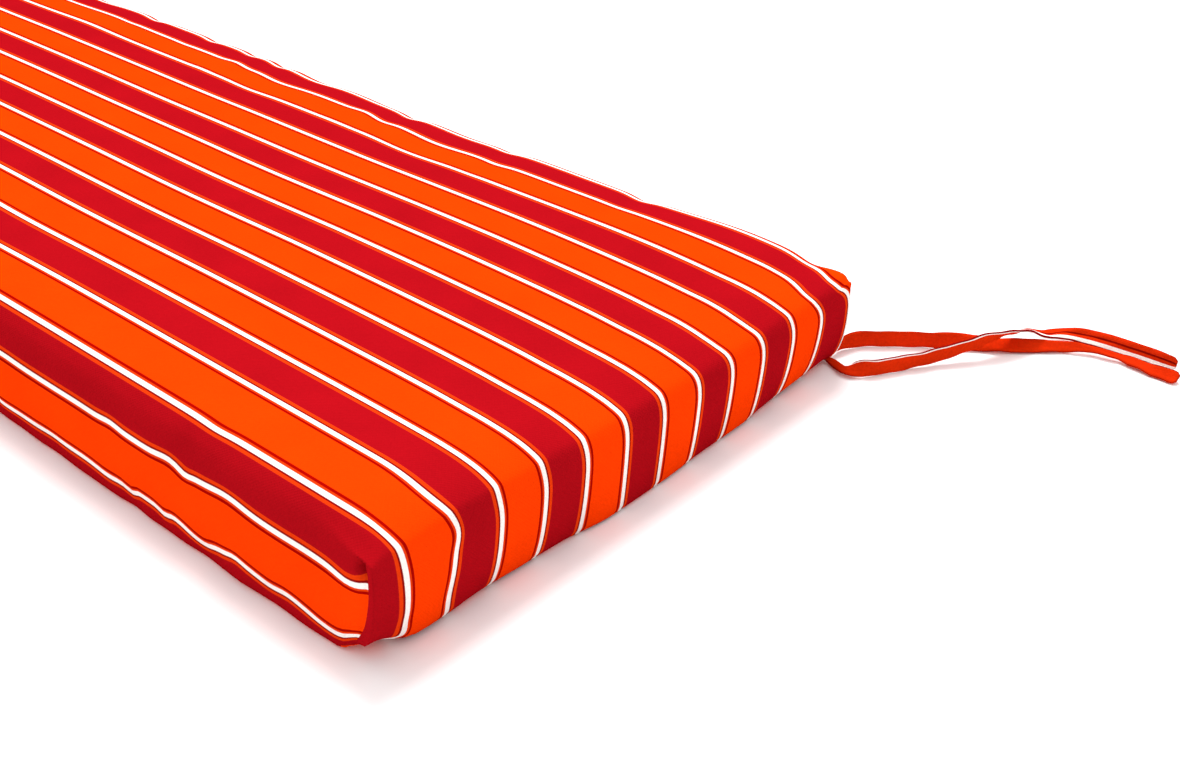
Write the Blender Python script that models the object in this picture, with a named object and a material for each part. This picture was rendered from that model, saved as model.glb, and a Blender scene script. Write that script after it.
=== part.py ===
"""Striped bench cushion with a sewn box edge and two ties at its back right corner.

Frame: origin on the floor under the middle of the cushion, +X along its length towards
the tied end, +Y from its front edge to its back edge, +Z up. Blender works in metres;
the sizes below are in millimetres and MM turns them.
"""
from collections import namedtuple
from math import cos, exp, radians, sin

import bmesh
import bpy
import numpy as np
from mathutils import Vector

MM = 0.001

# Driving sizes: length and width between the widest lines of the walls, and height
LENGTH = 1219.0
WIDTH = 465.6
TOP = 79.8
HALF_LENGTH = LENGTH / 2
HALF_WIDTH = WIDTH / 2

# Mesh pitch: columns along the length, and rows across the top from each long side
COLUMN_PITCH = 12.5
ROW_PITCH = 50.0
END_COLUMNS = (0.0, 6.0, 14.0, 26.0)
SIDE_ROWS = (0.0, 6.0, 12.5, 24.0, 44.0, 80.0)

# The box wall from the bottom seam to the shoulder, where it turns onto the top.
# "in" is how far a level stands behind the wall's widest line and "up" its height.
Level = namedtuple("Level", "name front_in front_up back_in back_up end_tuck end_in end_up")
WALL = (
    Level("seam", 2.0, 1.6, 3.6, 2.6, 1.00, 0.0, 0.0),
    Level("tuck", 1.2, 9.0, 1.8, 10.5, 0.62, 0.0, 9.5),
    Level("low", 0.6, 17.5, 0.5, 18.0, 0.36, 0.0, 18.5),
    Level("belly", 0.0, 28.5, 0.0, 28.5, 0.16, 0.0, 29.5),
    Level("middle", 0.7, 40.5, 1.0, 40.0, 0.05, 0.0, 41.0),
    Level("upper", 2.5, 52.5, 3.2, 51.0, 0.0, 0.3, 52.0),
    Level("neck", 5.6, 63.0, 6.8, 61.0, 0.0, 1.8, 60.5),
    Level("shoulder", 10.5, 71.2, 12.2, 68.5, 0.0, 5.4, 66.5),
)
SHOULDER = len(WALL) - 1

# The two vertical seams of an end run from the floor to the tip of the ear that the boxed
# corner leaves: side_in is measured from the long side's widest line, end_in from the end's,
# and reach is how far along the walls the corner is felt.
Ear = namedtuple("Ear", "name side_in end_in up reach")
FRONT_EAR = (
    Ear("seam", 7.0, 16.4, 7.0, 36.0),
    Ear("tuck", 3.9, 11.2, 14.0, 40.0),
    Ear("low", 2.3, 6.6, 20.4, 48.0),
    Ear("belly", 1.6, 3.2, 28.0, 52.0),
    Ear("middle", 1.6, 1.6, 39.0, 52.0),
    Ear("upper", 1.9, 1.0, 49.0, 52.0),
    Ear("neck", 2.6, 2.0, 58.5, 52.0),
    Ear("shoulder", 3.8, 4.2, 66.5, 52.0),
)
BACK_EAR = (
    Ear("seam", 5.4, 13.0, 4.5, 34.0),
    Ear("tuck", 4.4, 12.2, 11.5, 40.0),
    Ear("low", 5.6, 11.2, 20.0, 48.0),
    Ear("belly", 8.0, 9.8, 31.0, 52.0),
    Ear("middle", 11.0, 8.4, 43.0, 52.0),
    Ear("upper", 14.4, 7.2, 54.0, 52.0),
    Ear("neck", 17.6, 6.2, 63.5, 52.0),
    Ear("shoulder", 20.6, 5.4, 71.5, 52.0),
)
EAR_TOP_REACH = 28.0

# How far the top has dropped at a distance in from each edge's widest line
Round = namedtuple("Round", "inset front back end sag")
ROUNDING = (
    Round(3.0, 13.0, 24.0, 12.8, 4.0),
    Round(5.4, 12.0, 20.0, 9.3, 4.3),
    Round(10.5, 8.6, 13.0, 6.2, 5.0),
    Round(13.8, 5.6, 9.6, 4.9, 5.4),
    Round(17.0, 3.3, 7.4, 3.9, 5.5),
    Round(23.0, 1.3, 5.2, 2.6, 5.6),
    Round(35.0, 0.5, 3.6, 1.1, 5.4),
    Round(56.0, 0.0, 2.4, 0.1, 4.8),
    Round(91.0, 0.0, 1.2, 0.0, 3.0),
    Round(126.0, 0.0, 0.6, 0.0, 2.0),
    Round(167.0, 0.0, 0.2, 0.0, 1.5),
    Round(300.0, 0.0, 0.0, 0.0, 0.0),
)

# Where two roundings meet, the larger drop rules the more the higher this power is
ROUND_POWER = 4

# Each end is not straight across: the foot of its wall is drawn in most near the corners
# and the top sags most behind its middle. "across" is measured from the front's widest line
# and face_in is how far the wall stands behind the end's widest place.
Across = namedtuple("Across", "across seam_in seam_up face_in sag")
END_ACROSS = (
    Across(3.0, 10.0, 3.6, 0.0, 0.0),
    Across(22.0, 9.6, 3.6, 0.0, 0.0),
    Across(43.0, 7.6, 3.2, 0.6, 0.0),
    Across(60.0, 7.2, 3.0, 1.2, 0.0),
    Across(85.0, 8.4, 2.6, 1.6, 0.2),
    Across(117.0, 7.2, 2.0, 2.0, 0.5),
    Across(155.0, 5.8, 1.6, 2.3, 0.75),
    Across(168.0, 4.0, 1.5, 2.3, 0.85),
    Across(190.0, 1.6, 1.5, 2.4, 0.95),
    Across(243.0, 2.4, 1.5, 2.4, 1.0),
    Across(286.0, 4.6, 1.6, 2.6, 1.15),
    Across(333.0, 5.0, 2.0, 3.2, 1.05),
    Across(361.0, 7.4, 2.6, 3.4, 0.9),
    Across(388.0, 8.6, 3.2, 3.6, 0.8),
    Across(417.0, 9.6, 3.8, 3.9, 0.7),
    Across(462.0, 12.5, 4.5, 4.4, 0.4),
)

# Puckers along the sewn long sides. "along" runs from the middle of the cushion, "level"
# is the height of the deepest place, "spread" and "reach" its half width and half height.
Pucker = namedtuple("Pucker", "side along level spread reach depth")
PUCKERS = (
    Pucker("front", 576.0, 14.0, 15.0, 14.0, 2.0),
    Pucker("front", 556.0, 58.0, 16.0, 13.0, 1.4),
    Pucker("front", 531.0, 14.0, 13.0, 13.0, 1.6),
    Pucker("front", 498.0, 10.0, 11.0, 12.0, -1.2),
    Pucker("front", 466.0, 12.0, 12.0, 13.0, 1.8),
    Pucker("front", 452.0, 60.0, 12.0, 13.0, 2.8),
    Pucker("front", 432.0, 12.0, 14.0, 12.0, 1.2),
    Pucker("front", 400.0, 11.0, 11.0, 13.0, 2.2),
    Pucker("front", 352.0, 57.0, 26.0, 12.0, 1.2),
    Pucker("front", 318.0, 12.0, 15.0, 13.0, 1.6),
    Pucker("front", 268.0, 58.0, 18.0, 12.0, 1.8),
    Pucker("front", 246.0, 12.0, 13.0, 13.0, 2.2),
    Pucker("front", 188.0, 12.0, 16.0, 12.0, 1.6),
    Pucker("front", 141.0, 60.0, 14.0, 13.0, 2.4),
    Pucker("front", 104.0, 12.0, 13.0, 13.0, 2.0),
    Pucker("front", 47.0, 12.0, 17.0, 12.0, 1.5),
    Pucker("front", -18.0, 59.0, 20.0, 12.0, 1.7),
    Pucker("front", -39.0, 12.0, 12.0, 13.0, 2.2),
    Pucker("front", -102.0, 12.0, 16.0, 12.0, 1.6),
    Pucker("front", -157.0, 60.0, 13.0, 13.0, 2.6),
    Pucker("front", -171.0, 12.0, 13.0, 13.0, 1.9),
    Pucker("front", -243.0, 12.0, 15.0, 12.0, 1.7),
    Pucker("front", -296.0, 58.0, 22.0, 12.0, 1.5),
    Pucker("front", -322.0, 12.0, 12.0, 13.0, 2.2),
    Pucker("front", -391.0, 12.0, 16.0, 12.0, 1.6),
    Pucker("front", -437.0, 60.0, 13.0, 13.0, 2.4),
    Pucker("front", -469.0, 12.0, 13.0, 13.0, 2.0),
    Pucker("front", -538.0, 12.0, 16.0, 12.0, 1.8),
    Pucker("front", 435.0, 6.0, 42.0, 8.0, -0.6),
    Pucker("front", 275.0, 6.0, 22.0, 8.0, 1.4),
    Pucker("back", 572.0, 70.0, 15.0, 16.0, 3.6),
    Pucker("back", 510.0, 74.0, 56.0, 24.0, -4.0),
    Pucker("back", 421.0, 70.0, 13.0, 18.0, 2.6),
    Pucker("back", 284.0, 70.0, 14.0, 18.0, 2.2),
    Pucker("back", 238.0, 72.0, 44.0, 22.0, 3.4),
    Pucker("back", 170.0, 70.0, 13.0, 20.0, 2.6),
    Pucker("back", 148.0, 72.0, 50.0, 22.0, 3.2),
    Pucker("back", 48.0, 72.0, 30.0, 20.0, 3.4),
    Pucker("back", -6.0, 70.0, 12.0, 18.0, 2.8),
    Pucker("back", -47.0, 70.0, 12.0, 18.0, 2.2),
    Pucker("back", -106.0, 70.0, 13.0, 18.0, 2.4),
    Pucker("back", -198.0, 70.0, 14.0, 18.0, 2.6),
    Pucker("back", -286.0, 72.0, 32.0, 20.0, 2.8),
    Pucker("back", -352.0, 70.0, 12.0, 18.0, 2.8),
    Pucker("back", -441.0, 70.0, 18.0, 18.0, 2.2),
    Pucker("back", -515.0, 70.0, 13.0, 18.0, 2.4),
    Pucker("back", 505.0, 14.0, 14.0, 13.0, 1.6),
    Pucker("back", 352.0, 14.0, 15.0, 13.0, 1.8),
    Pucker("back", 209.0, 14.0, 13.0, 13.0, 1.6),
    Pucker("back", 92.0, 14.0, 15.0, 13.0, 1.8),
    Pucker("back", -64.0, 14.0, 14.0, 13.0, 1.6),
    Pucker("back", -183.0, 14.0, 15.0, 13.0, 1.8),
    Pucker("back", -317.0, 14.0, 13.0, 13.0, 1.6),
    Pucker("back", -468.0, 14.0, 15.0, 13.0, 1.8),
)

# A pucker dies away on the top and towards an end, and draws the top less than the wall
PUCKER_TOP_REACH = 75.0
PUCKER_CORNER_REACH = 40.0
PUCKER_TOP_DRAW = 0.5

# The bottom panel curls from its seam down to the floor, where it lies flat
Curl = namedtuple("Curl", "inset up")
UNDERSIDE = (
    Curl(5.0, 0.9),
    Curl(12.0, 0.0),
)

# Ties: a strip folded lengthwise and sewn in at the foot of the back right corner.
# A row gives a point of the strip's middle line, counted from that corner of the bottom
# seam: along X, across Y, lift above lying on the floor, and lean, the strip's turn about
# its own line, where 0 stands on edge and 90 lies flat with its sewn edge to the camera.
TIE_WIDTH = 12.7
TIE_THICKNESS = 2.2
TIE_EDGE = 0.7
TIE_FLOOR_GAP = 0.2
TIE_STEP = 6.0
Route = namedtuple("Route", "along across lift lean")
BACK_TIE = (
    Route(-5.2, 1.4, 1.0, 0.0),
    Route(-3.8, 13.1, 0.4, 0.0),
    Route(-0.2, 21.6, 0.1, 0.0),
    Route(5.5, 29.6, 0.0, 0.0),
    Route(11.9, 35.5, 0.0, 0.0),
    Route(26.0, 49.2, 0.0, 0.0),
    Route(41.7, 63.0, 0.0, -8.0),
    Route(54.5, 74.6, 0.0, -30.0),
    Route(65.0, 84.1, 0.0, -50.0),
    Route(77.0, 94.7, 0.0, -60.0),
    Route(90.0, 106.3, 0.0, -62.0),
    Route(107.9, 123.7, 0.0, -78.0),
    Route(130.0, 136.1, 0.0, -98.0),
    Route(146.2, 140.7, 0.0, -98.0),
    Route(161.0, 143.5, 0.0, -86.0),
    Route(176.5, 144.5, 0.0, -70.0),
    Route(195.5, 144.1, 0.0, -58.0),
)
FRONT_TIE = (
    Route(-0.8, -12.5, 1.2, -90.0),
    Route(4.9, -13.3, 1.0, -90.0),
    Route(9.3, -16.3, 0.8, -86.0),
    Route(14.1, -18.3, 0.6, -74.0),
    Route(19.7, -17.3, 0.3, -52.0),
    Route(25.1, -13.1, 0.1, -22.0),
    Route(32.5, -3.7, 0.0, 0.0),
    Route(39.1, 8.8, 0.0, 0.0),
    Route(47.2, 24.7, 0.3, 0.0),
    Route(56.2, 42.7, 1.6, 2.0),
    Route(63.7, 55.9, 4.0, 8.0),
    Route(70.7, 68.6, 6.8, 16.0),
    Route(76.3, 79.6, 8.8, 26.0),
    Route(80.8, 90.1, 10.0, 38.0),
    Route(84.5, 100.6, 10.2, 50.0),
    Route(89.7, 115.1, 8.8, 64.0),
    Route(98.0, 131.7, 5.8, 88.0),
    Route(107.5, 145.7, 2.6, 110.0),
    Route(119.5, 153.4, 0.6, 130.0),
    Route(134.9, 156.5, 0.0, 148.0),
    Route(151.7, 158.1, 0.0, 156.0),
    Route(168.8, 159.3, 0.0, 166.0),
    Route(188.0, 160.0, 0.0, 180.0),
)


def column(rows, place, key, value):
    """Read one column of a table at a place between its rows."""
    keys = [getattr(row, key) for row in rows]
    values = [getattr(row, value) for row in rows]
    return float(np.interp(place, keys, values))


def ease(distance, reach):
    """1 at an edge, falling smoothly to 0 at its reach."""
    t = min(max(distance / reach, 0.0), 1.0)
    return 1.0 - t * t * (3.0 - 2.0 * t)


def mix(a, b, share):
    return a + (b - a) * share


def sign(value):
    return 1.0 if value > 0 else -1.0


def across(y):
    """Distance of a place from the front's widest line."""
    return y + HALF_WIDTH


def pucker(side, along, up):
    """How far the cloth of a long side is drawn in at a place on it."""
    drawn = 0.0
    for row in PUCKERS:
        if row.side == side:
            far = ((along - row.along) / row.spread) ** 2 + ((up - row.level) / row.reach) ** 2
            drawn += row.depth * exp(-far)
    return drawn


def end_inset(level, y):
    """How far an end's wall stands in from its widest line."""
    wall = WALL[level]
    ear = (FRONT_EAR if y < 0 else BACK_EAR)[level]
    foot = wall.end_tuck * column(END_ACROSS, across(y), "across", "seam_in")
    inset = wall.end_in + foot + column(END_ACROSS, across(y), "across", "face_in")
    return mix(inset, ear.end_in, ease(HALF_WIDTH - abs(y), ear.reach))


def side_inset(level, x, y):
    """How far a long side's wall stands in from its widest line."""
    wall = WALL[level]
    ear = (FRONT_EAR if y < 0 else BACK_EAR)[level]
    share = ease(HALF_LENGTH - abs(x), ear.reach)
    inset = wall.front_in if y < 0 else wall.back_in
    return mix(inset, ear.side_in, share)


def wall_height(level, x, y):
    """Height of a level of the wall, which meets the ear's own height at each corner."""
    wall = WALL[level]
    ear = (FRONT_EAR if y < 0 else BACK_EAR)[level]
    if abs(x) >= HALF_LENGTH:
        lift = column(END_ACROSS, across(y), "across", "seam_up")
        up = wall.end_up + wall.end_tuck * lift
        return mix(up, ear.up, ease(HALF_WIDTH - abs(y), ear.reach))
    up = wall.front_up if y < 0 else wall.back_up
    return mix(up, ear.up, ease(HALF_LENGTH - abs(x), ear.reach))


def top_height(x, y):
    """Height of the crowned top over a place in plan, rounded down to all four edges."""
    from_end = HALF_LENGTH - abs(x) - column(END_ACROSS, across(y), "across", "face_in")
    from_front = across(y)
    from_back = WIDTH - from_front
    sag = column(END_ACROSS, from_front, "across", "sag")
    drops = (
        column(ROUNDING, from_end, "inset", "end") + sag * column(ROUNDING, from_end, "inset", "sag"),
        column(ROUNDING, from_front, "inset", "front"),
        column(ROUNDING, from_back, "inset", "back"),
    )
    return TOP - sum(drop ** ROUND_POWER for drop in drops) ** (1.0 / ROUND_POWER)


def in_plan(level, x, y):
    """Move a place of the plain box plan to where the cloth stands at a level."""
    reach = (FRONT_EAR if y < 0 else BACK_EAR)[level].reach
    moved_x = x - sign(x) * end_inset(level, y) * ease(HALF_LENGTH - abs(x), reach)
    moved_y = y - sign(y) * side_inset(level, x, y) * ease(HALF_WIDTH - abs(y), reach)
    return moved_x, moved_y


def ear_lift(x, y):
    """What the top gains or loses near a corner to reach the tip of its ear."""
    near_end = ease(HALF_LENGTH - abs(x), EAR_TOP_REACH)
    near_side = ease(HALF_WIDTH - abs(y), EAR_TOP_REACH)
    if near_end * near_side == 0.0:
        return 0.0
    ear = (FRONT_EAR if y < 0 else BACK_EAR)[SHOULDER]
    corner = top_height(HALF_LENGTH - ear.end_in, sign(y) * (HALF_WIDTH - ear.side_in))
    return (ear.up - corner) * near_end * near_side


def place(level, x, y):
    """Place of the cloth for a level of the wall, or of the top when level is SHOULDER."""
    moved_x, moved_y = in_plan(level, x, y)
    if level == SHOULDER:
        up = top_height(moved_x, moved_y) + ear_lift(x, y)
    else:
        up = wall_height(level, x, y)
    side = "front" if y < 0 else "back"
    from_corner = 1.0 - ease(HALF_LENGTH - abs(x), PUCKER_CORNER_REACH)
    near_side = ease(HALF_WIDTH - abs(moved_y), PUCKER_TOP_REACH)
    drawn = pucker(side, x, up) * from_corner * near_side
    rise = min(up / TOP, 1.0) ** 2
    moved_y -= sign(y) * drawn * mix(1.0, PUCKER_TOP_DRAW, rise)
    return Vector((moved_x, moved_y, up - drawn * rise)) * MM


def stations(half, edge_steps, pitch):
    """Places from -half to half: the edge steps at both ends, and an even pitch between."""
    inner = half - edge_steps[-1]
    count = max(2, round(2 * inner / pitch))
    middle = [mix(-inner, inner, step / count) for step in range(1, count)]
    low = [-half + step for step in edge_steps]
    high = [half - step for step in reversed(edge_steps)]
    return low + middle + high


def make_material(name, colour, roughness):
    material = bpy.data.materials.new(name)
    material.use_nodes = True
    shader = material.node_tree.nodes["Principled BSDF"]
    shader.inputs["Base Color"].default_value = (*colour, 1.0)
    shader.inputs["Roughness"].default_value = roughness
    shader.inputs["Metallic"].default_value = 0.0
    return material


def add_object(name, mesh, material):
    made = bpy.data.objects.new(name, mesh)
    mesh.materials.append(material)
    bpy.context.scene.collection.objects.link(made)
    return made


def wall_loop(bm, edges):
    """Extrude an open rim once and give back the new rim's edges and points."""
    made = bmesh.ops.extrude_edge_only(bm, edges=edges)["geom"]
    rim = [item for item in made if isinstance(item, bmesh.types.BMEdge)]
    return rim, {vert for edge in rim for vert in edge.verts}


def make_cushion(material):
    """The filled cushion as one closed solid: crowned top, box wall and flat underside."""
    columns = stations(HALF_LENGTH, END_COLUMNS, COLUMN_PITCH)
    rows = stations(HALF_WIDTH, SIDE_ROWS, ROW_PITCH)
    bm = bmesh.new()
    bmesh.ops.create_grid(bm, x_segments=len(columns) - 1, y_segments=len(rows) - 1, size=1.0)
    column_of = bm.verts.layers.int.new("column")
    row_of = bm.verts.layers.int.new("row")
    for vert in bm.verts:
        vert[column_of] = round((vert.co.x + 1.0) / 2.0 * (len(columns) - 1))
        vert[row_of] = round((vert.co.y + 1.0) / 2.0 * (len(rows) - 1))
        vert.co = place(SHOULDER, columns[vert[column_of]], rows[vert[row_of]])
    rim = [edge for edge in bm.edges if edge.is_boundary]
    for level in reversed(range(SHOULDER)):
        rim, verts = wall_loop(bm, rim)
        for vert in verts:
            vert.co = place(level, columns[vert[column_of]], rows[vert[row_of]])
    for inset, up in UNDERSIDE:
        rim, verts = wall_loop(bm, rim)
        for vert in verts:
            x, y = columns[vert[column_of]], rows[vert[row_of]]
            foot_x, foot_y = in_plan(0, x, y)
            shrink_x = 1.0 - inset / HALF_LENGTH
            shrink_y = 1.0 - inset / HALF_WIDTH
            vert.co = Vector((foot_x * shrink_x, foot_y * shrink_y, up)) * MM
    bmesh.ops.edgeloop_fill(bm, edges=rim)
    bmesh.ops.recalc_face_normals(bm, faces=bm.faces)
    mesh = bpy.data.meshes.new("cushion")
    bm.to_mesh(mesh)
    bm.free()
    mesh.shade_smooth()
    mesh.set_sharp_from_angle(angle=radians(40))
    return add_object("cushion", mesh, material)


def smooth_route(rows):
    """Points along a smooth curve through a tie's route, a step apart, with their lean."""
    knots = np.array([(r.along, r.across, r.lift, r.lean) for r in rows])
    ends = np.vstack([2 * knots[0] - knots[1], knots, 2 * knots[-1] - knots[-2]])
    points = []
    for first, second, third, fourth in zip(ends, ends[1:], ends[2:], ends[3:]):
        count = max(1, round(float(np.linalg.norm((third - second)[:2])) / TIE_STEP))
        for step in range(count):
            t = step / count
            points.append(0.5 * (2 * second + (third - first) * t
                                 + (2 * first - 5 * second + 4 * third - fourth) * t ** 2
                                 + (3 * second - first - 3 * third + fourth) * t ** 3))
    points.append(knots[-1])
    return points


def tie_profile():
    """Guide: the section of a folded strip, flat with rounded edges, standing on edge."""
    half, thin, cut = TIE_WIDTH / 2, TIE_THICKNESS / 2, TIE_EDGE
    outline = [(-thin, half - cut), (-thin + cut, half), (thin - cut, half), (thin, half - cut),
               (thin, -half + cut), (thin - cut, -half), (-thin + cut, -half), (-thin, -half + cut)]
    curve = bpy.data.curves.new("tie_profile", "CURVE")
    curve.dimensions = "2D"
    spline = curve.splines.new("POLY")
    spline.points.add(len(outline) - 1)
    spline.use_cyclic_u = True
    for point, (wide, tall) in zip(spline.points, outline):
        point.co = (wide * MM, tall * MM, 0.0, 1.0)
    guide = bpy.data.objects.new("tie_profile", curve)
    guide.hide_render = True
    guide.display_type = "WIRE"
    bpy.context.scene.collection.objects.link(guide)
    return guide


def make_tie(name, rows, profile, material):
    """A flat strip swept along its route, turned by its lean, resting on the floor."""
    foot_x, foot_y = HALF_LENGTH - BACK_EAR[0].end_in, HALF_WIDTH - BACK_EAR[0].side_in
    points = smooth_route(rows)
    curve = bpy.data.curves.new(name, "CURVE")
    curve.dimensions = "3D"
    curve.twist_mode = "Z_UP"
    curve.bevel_mode = "OBJECT"
    curve.bevel_object = profile
    curve.use_fill_caps = True
    spline = curve.splines.new("POLY")
    spline.points.add(len(points) - 1)
    for point, (along, aside, lift, lean) in zip(spline.points, points):
        turn = radians(lean)
        rest = abs(cos(turn)) * TIE_WIDTH / 2 + abs(sin(turn)) * TIE_THICKNESS / 2
        up = rest + TIE_FLOOR_GAP + max(lift, 0.0)
        point.co = ((foot_x + along) * MM, (foot_y + aside) * MM, up * MM, 1.0)
        point.tilt = turn
    return add_object(name, curve, material)


def main():
    for leftover in list(bpy.data.objects):
        bpy.data.objects.remove(leftover, do_unlink=True)
    cover = make_material("woven cover, orange and red stripe", (0.80, 0.07, 0.01), 0.85)
    strip = make_material("folded tie strip, orange", (0.76, 0.05, 0.01), 0.85)
    make_cushion(cover)
    profile = tie_profile()
    make_tie("tie_back", BACK_TIE, profile, strip)
    make_tie("tie_front", FRONT_TIE, profile, strip)


main()
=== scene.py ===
from math import cos, pi, radians, sin
import bmesh
import bpy
import numpy as np
from mathutils import Matrix, Vector


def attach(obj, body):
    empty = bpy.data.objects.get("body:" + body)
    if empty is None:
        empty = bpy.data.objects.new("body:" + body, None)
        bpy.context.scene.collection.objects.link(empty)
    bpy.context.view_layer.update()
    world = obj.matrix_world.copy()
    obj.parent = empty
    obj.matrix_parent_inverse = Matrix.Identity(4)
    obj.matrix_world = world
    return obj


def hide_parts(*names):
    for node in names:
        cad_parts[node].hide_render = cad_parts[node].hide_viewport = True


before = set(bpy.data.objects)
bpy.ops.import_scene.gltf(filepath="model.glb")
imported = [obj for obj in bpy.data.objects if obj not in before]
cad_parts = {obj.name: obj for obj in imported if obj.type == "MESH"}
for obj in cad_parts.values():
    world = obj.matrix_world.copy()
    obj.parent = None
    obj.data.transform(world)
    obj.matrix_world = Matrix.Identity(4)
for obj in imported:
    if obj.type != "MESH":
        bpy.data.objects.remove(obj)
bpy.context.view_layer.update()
mm = 0.001


def linear(code):  # sRGB hex to linear
    parts = [int(code[i:i + 2], 16) / 255 for i in (0, 2, 4)]
    return tuple(p / 12.92 if p <= 0.04045 else ((p + 0.055) / 1.055) ** 2.4 for p in parts) + (1.0,)


def node(tree, kind, settings=None, links=None):  # links: {input: (node, output)}
    made = tree.nodes.new(kind)
    for name, value in (settings or {}).items():
        if name in made.inputs.keys() or isinstance(name, int):
            made.inputs[name].default_value = value
        else:
            setattr(made, name, value)
    for name, (source, output) in (links or {}).items():
        tree.links.new(source.outputs[output], made.inputs[name])
    return made


# Camera, where the stripes' even spacing puts it
camera = dict(place=(1.02298, -0.58732, 0.49220), heading=128.436, down=30.191, roll=3.417, lens=42.488)


def makeCamera():
    head, down, roll = (radians(camera[k]) for k in ("heading", "down", "roll"))
    look = Vector((cos(head) * cos(down), sin(head) * cos(down), -sin(down)))
    right = Vector((sin(head), -cos(head), 0.0))
    up = right.cross(look)
    turned = right * cos(roll) + up * sin(roll)
    upright = up * cos(roll) - right * sin(roll)
    bpy.ops.object.camera_add()
    made = bpy.context.object
    made.name = "photoCamera"
    made.data.lens = camera["lens"]
    made.data.sensor_width = 36.0
    made.data.clip_start = 0.01
    facing = Matrix((turned, upright, -look)).transposed().to_4x4()
    made.matrix_world = Matrix.Translation(camera["place"]) @ facing
    bpy.context.scene.camera = made
    print("camera made")


makeCamera()


# Ties: cloth folded lengthwise into a strip, sewn in at the foot of the back right corner.
# Rows of the routes: along X and across Y from that corner, lift off the floor, and lean: 0
# stands on edge, 90 lies flat with its sewn edge to the camera. They are the solids' rows, but
# for the back tie's leans along its free half and the front tie's second place.
ties = dict(
    corner=(596.5, 227.4), width=12.7, thick=2.2, gap=0.2, step=2.5,
    back=[(-5.2, 1.4, 1.0, 0), (-3.8, 13.1, 0.4, 0), (-0.2, 21.6, 0.1, 0), (5.5, 29.6, 0, 0),
          (11.9, 35.5, 0, 0), (26.0, 49.2, 0, 0), (41.7, 63.0, 0, -8), (54.5, 74.6, 0, -30),
          (65.0, 84.1, 0, -50), (77.0, 94.7, 0, -60), (90.0, 106.3, 0, -60), (107.9, 123.7, 0, -58),
          (130.0, 136.1, 0, -58), (146.2, 140.7, 0, -62), (161.0, 143.5, 0, -68), (176.5, 144.5, 0, -70),
          (195.5, 144.1, 0, -66)],
    front=[(-0.8, -12.5, 1.2, -90), (2.8, -13.3, 1.0, -90), (9.3, -16.3, 0.8, -86), (14.1, -18.3, 0.6, -74),
           (19.7, -17.3, 0.3, -52), (25.1, -13.1, 0.1, -22), (32.5, -3.7, 0, 0), (39.1, 8.8, 0, 0),
           (47.2, 24.7, 0.3, 0), (56.2, 42.7, 1.6, 2), (63.7, 55.9, 4, 8), (70.7, 68.6, 6.8, 16),
           (76.3, 79.6, 8.8, 26), (80.8, 90.1, 10, 38), (84.5, 100.6, 10.2, 50), (89.7, 115.1, 8.8, 64),
           (98.0, 131.7, 5.8, 88), (107.5, 145.7, 2.6, 110), (119.5, 153.4, 0.6, 130), (134.9, 156.5, 0, 148),
           (151.7, 158.1, 0, 156), (168.8, 159.3, 0, 166), (188.0, 160.0, 0, 180)],
    # Where the strips are gathered: run along the strip, share of the width kept, and how much
    # of the loss comes off the folded edge alone
    backShare=((0, 0.8, 0), (14, 1, 0), (140, 1, 0), (160, 0.88, 0), (176, 0.72, 0.5), (190, 0.58, 1),
               (202, 0.46, 1), (211, 0.5, 1), (217, 0.44, 1), (226, 0.72, 1), (236, 0.84, 1), (244, 1, 1),
               (250, 0.94, 1), (262, 1, 1)),
    frontShare=((0, 0.5, 0), (13, 0.56, 0), (22, 0.78, 0), (32, 1, 0), (200, 1, 0), (294, 0.9, 0)),
    # The tips are rounded where they are turned in, and the root goes on into the seam
    turnedIn=4.0, endShare=0.55, rootIn=7.0,
    # Unevenness of the faces: how deep, then the lengths it goes by
    wave=(0.8, 8.3, 19.0), ripple=(0.35, 3.4), floorGap=0.1,
)


def spline(a, b, c, d, t):  # a smooth curve from b to c
    return 0.5 * (2 * b + (c - a) * t + (2 * a - 5 * b + 4 * c - d) * t ** 2
                  + (3 * b - a - 3 * c + d) * t ** 3)


def smoothRoute(rows, step):  # places a step apart on a smooth curve through the rows
    knots = np.array(rows, float)
    ends = np.vstack([2 * knots[0] - knots[1], knots, 2 * knots[-1] - knots[-2]])
    places = []
    for a, b, c, d in zip(ends, ends[1:], ends[2:], ends[3:]):
        count = max(1, round(float(np.linalg.norm((c - b)[:2])) / step))
        places += [spline(a, b, c, d, t) for t in np.arange(count) / count]
    return np.array(places + [knots[-1]])


def smoothRead(keys, values, places):  # a smooth curve through a table, with no overshoot
    keys, values, places = np.array(keys, float), np.array(values, float), np.asarray(places, float)
    gap, rise = np.diff(keys), np.diff(values) / np.diff(keys)
    slope = np.concatenate([[rise[0]], np.zeros(len(keys) - 2), [rise[-1]]])
    same = rise[:-1] * rise[1:] > 0
    first, second = 2 * gap[1:] + gap[:-1], gap[1:] + 2 * gap[:-1]
    with np.errstate(divide="ignore", invalid="ignore"):
        mean = (first + second) / (first / rise[:-1] + second / rise[1:])
    slope[1:-1] = np.where(same, mean, 0.0)
    i = np.clip(np.searchsorted(keys, places, side="right") - 1, 0, len(keys) - 2)
    t = np.clip((places - keys[i]) / gap[i], 0, 1)
    return ((1 + 2 * t) * (1 - t) ** 2 * values[i] + t * (1 - t) ** 2 * gap[i] * slope[i]
            + t * t * (3 - 2 * t) * values[i + 1] + t * t * (t - 1) * gap[i] * slope[i + 1])


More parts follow.
